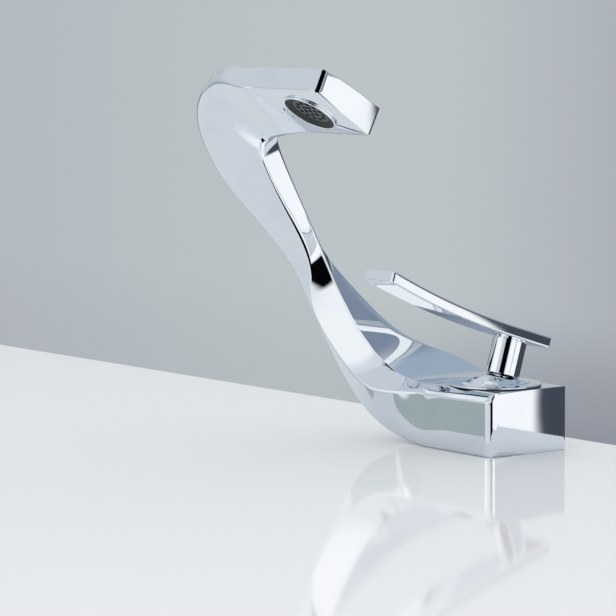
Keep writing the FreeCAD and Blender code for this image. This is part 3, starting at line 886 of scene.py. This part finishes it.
def makeShank():
    # a turned tube with its screw thread wound round it
    low, high, radius = spanOf("mounting_shank")
    core = under["coreRadius"]
    bore = under["bore"]
    top = under["threadTop"]
    lead = under["coreLead"]
    tube = spunPiece([
        (bore + under["boreLead"], low), (core - lead, low), (core, low + lead), (core, top),
        (radius, top + under["threadLead"]), (radius, high), (bore, high),
        (bore, low + under["boreLead"]),
    ])
    deselectAll()
    foot = under["threadEnd"]
    crestLow = foot + (under["root"] - under["crest"]) / 2
    crestHigh = foot + (under["root"] + under["crest"]) / 2
    buried = core - under["threadSunk"]
    thread = outlinePiece([(buried, foot), (radius - 0.02, crestLow), (radius - 0.02, crestHigh),
                           (buried, foot + under["root"])])
    bpy.ops.object.mode_set(mode="OBJECT")
    turns = int((top - foot - under["root"]) / under["pitch"])
    addModifier(thread, "SCREW", screw_offset=under["pitch"] * mm, iterations=turns,
                angle=2 * math.pi, steps=under["threadSteps"], render_steps=under["threadSteps"])
    editMode(thread, "EDGE")
    bpy.ops.mesh.select_non_manifold()
    bpy.ops.mesh.fill_holes(sides=0)
    bpy.ops.object.mode_set(mode="OBJECT")
    cleanNormals(thread)
    makeActive(tube)
    thread.select_set(True)
    bpy.ops.object.join()
    return finishPiece(tube, "threadedShank", "mounting_shank", brass)


def makeNut():
    # six flats whose corners are turned back to a cone, and a bore with a lead-in
    low, high = spanOf("lock_nut")[:2]
    radius = under["acrossFlats"] / 2 / math.cos(math.pi / 6)
    deselectAll()
    middle = (0, 0, (high + low) / 2 * mm)
    bpy.ops.mesh.primitive_cylinder_add(vertices=6, radius=radius * mm, depth=(high - low) * mm,
                                        location=middle, rotation=(0, 0, math.pi / 6))
    nut = bpy.context.object
    bpy.ops.object.transform_apply(**applied)
    if abs(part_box("lock_nut")[1][0] / mm - radius) < 0.2:
        bpy.ops.transform.rotate(value=math.pi / 6, orient_axis="Z", center_override=(0, 0, 0))
        bpy.ops.object.transform_apply(**applied)
    cut = under["chamfer"]
    flat = under["acrossFlats"] / 2 - 0.2
    below, above = low - under["beyond"], high + under["beyond"]
    deselectAll()
    turned = spunPiece([(1, below), (flat - 1.7, below), (flat, low), (radius + 0.4, low + cut),
                        (radius + 0.4, high - cut), (flat, high), (flat - 1.7, above), (1, above)])
    cutWith(nut, [turned], "INTERSECT")
    bore = under["nutBore"]
    deselectAll()
    hole = spunPiece([(0.5, below), (bore + 1.8, below), (bore, low + 0.8), (bore, high - 0.8),
                      (bore + 1.8, above), (0.5, above)])
    cutWith(nut, [hole])
    addModifier(nut, "BEVEL", width=under["nutBevel"] * mm, segments=2, limit_method="ANGLE",
                angle_limit=math.radians(25))
    cleanNormals(nut)
    return finishPiece(nut, "lockNut", "lock_nut", brass)


def makeClampRing(name, node, material, rounding):
    low, high, radius = spanOf(node)
    inner = under["ringBore"]
    outline = [(inner, low), (radius, low), (radius, high), (inner, high)]
    piece = spunPiece(roundedProfile(outline, rounding))
    return finishPiece(piece, name, node, material)


makeShank()
makeNut()
makeClampRing("clampWasher", "clamp_washer", steel, under["ringRound"])
makeClampRing("clampGasket", "clamp_gasket", rubber, under["rollOver"])
print("fixings made")

# every CAD node that stays gets its finish

for nodeName, node in frame["nodes"].items():
    coatPiece(node, finishOf[slotOf[nodeName]])

# camera at the photograph's viewing angle

camera = {"lens": 187.0, "sensor": 36.0, "clip": (0.05, 50.0), "place": (1.1989, -1.0459, 0.2350),
          "yaw": 52.272, "pitch": 5.893, "roll": -0.2294}


def makeCamera():
    data = bpy.data.cameras.new("camera")
    data.lens = camera["lens"]
    data.sensor_width = camera["sensor"]
    data.clip_start, data.clip_end = camera["clip"]
    seen = bpy.data.objects.new("camera", data)
    bpy.context.collection.objects.link(seen)
    yaw = Matrix.Rotation(math.radians(camera["yaw"]), 4, "Z")
    pitch = Matrix.Rotation(math.radians(90 - camera["pitch"]), 4, "X")
    roll = Matrix.Rotation(math.radians(camera["roll"]), 4, "Z")
    seen.matrix_world = Matrix.Translation(camera["place"]) @ yaw @ pitch @ roll
    bpy.context.scene.camera = seen


makeCamera()

# floor, backdrop and light

stage = {
    "floorSize": 80.0, "floorBack": 0.0535, "backSoft": 0.0004,
    "floorTone": linear(252, 253, 255), "floorGloss": 0.06,
    # the backdrop's tones: a painted glow fanning out over its middle and painted shade near its
    # foot
    "wallMiddle": linear(188, 196, 199), "wallSide": linear(170, 175, 184),
    "wallFootShade": linear(146, 150, 160),
    "fadeFrom": (1.2, -1.05), "fadeTurn": 140.5, "fadeLeft": 14.6, "fadeRight": 5.2,
    "footDepth": 0.45, "footTurn": (137, 142), "footLeft": 0.9, "footLoss": 0.75,
}
# what the polished metal sees of the floor, in metres
ledge = {
    "tone": linear(222, 227, 232), "front": -0.072, "bay": 0.032, "bayEdge": (-0.088, -0.064),
    "right": 0.12, "left": -0.165, "leftBack": (-0.02, -0.01), "sideSoft": 0.004, "soft": 0.001,
}
# and of the room, by compass turn and rise in degrees
room = {
    "sky": linear(214, 219, 226), "panel": (1.12, 1.12, 1.13, 1), "flag": linear(4, 4, 6),
    "leftSky": linear(196, 201, 208), "leftTurn": (150, 162), "leftTurnOn": (-170, -152),
    "leftRise": (14, 26),
    "wallLow": linear(134, 146, 166), "wallHigh": linear(166, 182, 200), "wallRise": (14, 46),
    "wallPale": (112, 128), "wallLeft": (-2, 8), "wallRight": (148, 160),
    "gap": linear(70, 75, 86), "gapDeep": linear(34, 40, 54), "gapDeepTurn": (143.5, 148),
    "gapRise": (-14.5, 3.0), "gapRiseSoft": 0.6, "gapEnd": 166.0, "gapEndSoft": 0.2,
    "flagTurn": (-61.5, -31.0), "flagSoft": (1.5, 3), "flagRise": (14.0, 17.0),
    "flagSpread": (5.0, 26.0), "flagTop": (39.0, 42.0), "flagFoot": (-12, -8),
    "panelEdge": 41.87, "panelEdgeSoft": 0.1, "panelLean": (-10.7, 1.757),
    "panelLeanRise": (-7.25, -7.05), "panelStep": 2.97, "panelStepRise": (-4.5, -3.5),
    "panelTop": (15.0, 2.5), "panelTopTurn": (-6, 6), "panelTopSoft": 1.2,
    "panelStart": 4, "panelPast": 6, "panelSoft": 1.5,
    "brightTurn": (-136.0, -92.0), "brightSoft": 6, "brightRise": (22.0, 31.0),
    "low": linear(226, 231, 239), "lowRise": (-9, -3),
    "lowWhite": (1.05, 1.06, 1.07, 1), "whiteTurn": (-128, -76), "whiteSoft": 8,
    "whiteRise": (-28, -8),
    "shade": linear(168, 181, 183), "shadeTurn": (-119, -116), "shadeRise": (8, 12),
    "shadeDepth": 42, "shadeStep": 11, "shadeStepTurn": (-132, -126), "shadeSoft": 1.5,
    "farShadeTurn": (162, 165), "farShadeFoot": (-28, -26), "farShadeTop": (-6, 0),
    "back": linear(142, 153, 172), "backDeep": linear(30, 38, 50), "backTurn": (118, 158),
    "backSoft": 3, "backFoot": (-34, -30), "backTop": (-8, -2), "backDeepTurn": (142, 149),
    "sideTurn": (-34, 24), "sideSoft": 4, "sideFoot": (-28, -24), "sideTop": (-3, 1),
    "dark": linear(5, 5, 7), "darkTurn": (-124.0, -34.0), "darkSoft": 3, "darkRise": -57.0,
    "darkRiseSoft": 1.5,
}


def past(value, edge, soft):
    return value.smooth(edge - soft, edge + soft)


def below(value, limits):
    return 1 - value.smooth(*limits)


def bandOf(value, low, high, soft):
    return past(value, low, soft) * (1 - past(value, high, soft))


def wallTone(tree, across, along):
    # painted light: the backdrop gets a painted glow over its middle, fanning out from one point,
    # and painted shade near its foot
    fromX, fromY = stage["fadeFrom"]
    turn = across.maths("ARCTAN2", along - fromY, across - fromX) * math.degrees(1)
    off = turn - stage["fadeTurn"]
    off = off.maths("MAXIMUM", off * (1 / stage["fadeLeft"]), off * (-1 / stage["fadeRight"]))
    tone = mixColours(tree, off.smooth(0, 1), stage["wallMiddle"], stage["wallSide"])
    near = 1 - along.smooth(stage["floorBack"], stage["floorBack"] + stage["footDepth"])
    foot = near * (stage["footLeft"] - turn.smooth(*stage["footTurn"]) * stage["footLoss"])
    return mixColours(tree, foot, tone, stage["wallFootShade"])


def ledgeMask(across, along):
    # the part of the floor that the metal mirrors as a pale ledge
    front = ledge["front"] + below(across, ledge["bayEdge"]) * ledge["bay"]
    mask = past(along - front, 0, ledge["soft"])
    mask = mask * (1 - past(along, stage["floorBack"], ledge["soft"]))
    mask = mask * below(across, (ledge["right"], ledge["right"] + ledge["sideSoft"]))
    left = below(across, (ledge["left"] - ledge["sideSoft"], ledge["left"]))
    left = left * below(along, ledge["leftBack"])
    return mask.maths("MAXIMUM", mask, left)


def makeFloor():
    # a glossy pale ledge, and behind its back edge the backdrop's tone with its painted glow and
    # painted foot shade
    deselectAll()
    bpy.ops.mesh.primitive_plane_add(size=stage["floorSize"], location=(0, 0, 0))
    floor = bpy.context.object
    floor.name = "floor"
    deselectAll()
    material, tree, shader, place = newMaterial("paleFloor")
    shader.inputs["Base Color"].default_value = stage["floorTone"]
    shader.inputs["Roughness"].default_value = stage["floorGloss"]
    across, along = splitVector(tree, place)[:2]
    matt = addNode(tree, "ShaderNodeBsdfDiffuse", Color=wallTone(tree, across, along))
    beyond = past(along, stage["floorBack"], stage["backSoft"])
    shown = mixShaders(tree, beyond, Flow(tree, shader.outputs[0]), matt)
    clear = addNode(tree, "ShaderNodeBsdfTransparent")
    glow = addNode(tree, "ShaderNodeBsdfDiffuse", Color=ledge["tone"])
    glow = mixShaders(tree, ledgeMask(across, along), clear, glow)
    eye = addNode(tree, "ShaderNodeLightPath")
    back = addNode(tree, "ShaderNodeNewGeometry", output=6)
    whole = mixShaders(tree, back, mixShaders(tree, eye, glow, shown), clear)
    tree.links.new(whole.socket, tree.nodes["Material Output"].inputs["Surface"])
    floor.data.materials.append(material)


def upperZones(turn, rise):
    # pale sky, a bright window at the left and its softer neighbour
    bright = bandOf(turn, *room["brightTurn"], room["brightSoft"])
    left = turn.smooth(*room["leftTurn"]) + below(turn, room["leftTurnOn"])
    return [
        (bright * below(rise, room["brightRise"]), room["panel"]),
        (left * below(rise, room["leftRise"]), room["leftSky"]),
    ]


def lowerZones(tree, turn, rise):
    # below the horizon: the pale basin with its grey-green, blue-grey and black parts
    white = bandOf(turn, *room["whiteTurn"], room["whiteSoft"]) * below(rise, room["whiteRise"])
    limit = turn.smooth(*room["shadeStepTurn"]) * room["shadeStep"] - room["shadeDepth"]
    shade = below(turn, room["shadeTurn"]) * past(rise - limit, 0, room["shadeSoft"])
    shade = shade * below(rise, room["shadeRise"])
    far = turn.smooth(*room["farShadeTurn"]) * rise.smooth(*room["farShadeFoot"])
    back = bandOf(turn, *room["backTurn"], room["backSoft"]) * rise.smooth(*room["backFoot"])
    backTone = mixColours(tree, turn.smooth(*room["backDeepTurn"]), room["back"], room["backDeep"])
    side = bandOf(turn, *room["sideTurn"], room["sideSoft"]) * rise.smooth(*room["sideFoot"])
    dark = bandOf(turn, *room["darkTurn"], room["darkSoft"])
    return [
        (below(rise, room["lowRise"]), room["low"]),
        (white, room["lowWhite"]),
        (shade + far * below(rise, room["farShadeTop"]), room["shade"]),
        (back * below(rise, room["backTop"]), backTone),
        (side * below(rise, room["sideTop"]), room["wallLow"]),
        (dark * (1 - past(rise, room["darkRise"], room["darkRiseSoft"])), room["dark"]),
    ]


def flagZone(turn, rise):
    # the black screen, which widens with height
    low, high = room["flagTurn"]
    spread = rise.smooth(*room["flagRise"])
    flag = past(turn + spread * room["flagSpread"][0], low, room["flagSoft"][0])
    flag = flag * (1 - past(turn - spread * room["flagSpread"][1], high, room["flagSoft"][1]))
    return flag * below(rise, room["flagTop"]) * rise.smooth(*room["flagFoot"])


def rightZones(tree, turn, rise):
    # the white panel, the blue-grey wall above it and the dark gap beside it
    topLeft, topRight = room["panelTop"]
    top = topLeft - turn.smooth(*room["panelTopTurn"]) * (topLeft - topRight)
    above = past(rise - top, 0, room["panelTopSoft"])
    panel = bandOf(turn, room["flagTurn"][1] + room["panelStart"],
                   room["panelEdge"] + room["panelPast"], room["panelSoft"]) * (1 - above)
    wallTone = mixColours(tree, rise.smooth(*room["wallRise"]), room["wallLow"], room["wallHigh"])
    wallTone = mixColours(tree, turn.smooth(*room["wallPale"]), wallTone, stage["wallMiddle"])
    wall = turn.smooth(*room["wallLeft"]) * below(turn, room["wallRight"]) * above
    gapTone = mixColours(tree, turn.smooth(*room["gapDeepTurn"]), room["gap"], room["gapDeep"])
    start, slope = room["panelLean"]
    lean = rise.smooth(*room["panelLeanRise"]) * (start - rise * slope)
    step = rise.smooth(*room["panelStepRise"])
    lean = lean * (1 - step) - step * room["panelStep"]
    gap = past(turn - lean, room["panelEdge"], room["panelEdgeSoft"])
    gap = gap * (1 - past(turn, room["gapEnd"], room["gapEndSoft"]))
    gap = gap * bandOf(rise, *room["gapRise"], room["gapRiseSoft"])
    return [(panel, room["panel"]), (wall, wallTone), (gap, gapTone)]


def makeWorld():
    # plain white light, and for mirrored rays a studio of soft zones laid over one another
    world = bpy.data.worlds.new("studio")
    bpy.context.scene.world = world
    world.use_nodes = True
    tree = world.node_tree
    way = addNode(tree, "ShaderNodeTexCoord", output=0)
    x, y, z = splitVector(tree, way)
    turn = x.maths("ARCTAN2", y, x) * math.degrees(1)
    rise = z.maths("ARCSINE", z) * math.degrees(1)
    zones = upperZones(turn, rise) + lowerZones(tree, turn, rise)
    zones += [(flagZone(turn, rise), room["flag"])] + rightZones(tree, turn, rise)
    tone = room["sky"]
    for mask, zoneTone in zones:
        tone = mixColours(tree, mask, tone, zoneTone)
    eye = addNode(tree, "ShaderNodeLightPath")
    mirror = Flow(tree, eye.socket.node.outputs["Is Glossy Ray"])
    plain = mixColours(tree, eye, (1.0, 1.0, 1.0, 1), stage["wallSide"])
    shader = tree.nodes["Background"]
    plug(tree, shader.inputs["Color"], mixColours(tree, mirror, plain, tone))
    shader.inputs["Strength"].default_value = 1.0


makeFloor()
makeWorld()
bpy.context.scene.view_settings.view_transform = "Standard"
print("stage made")
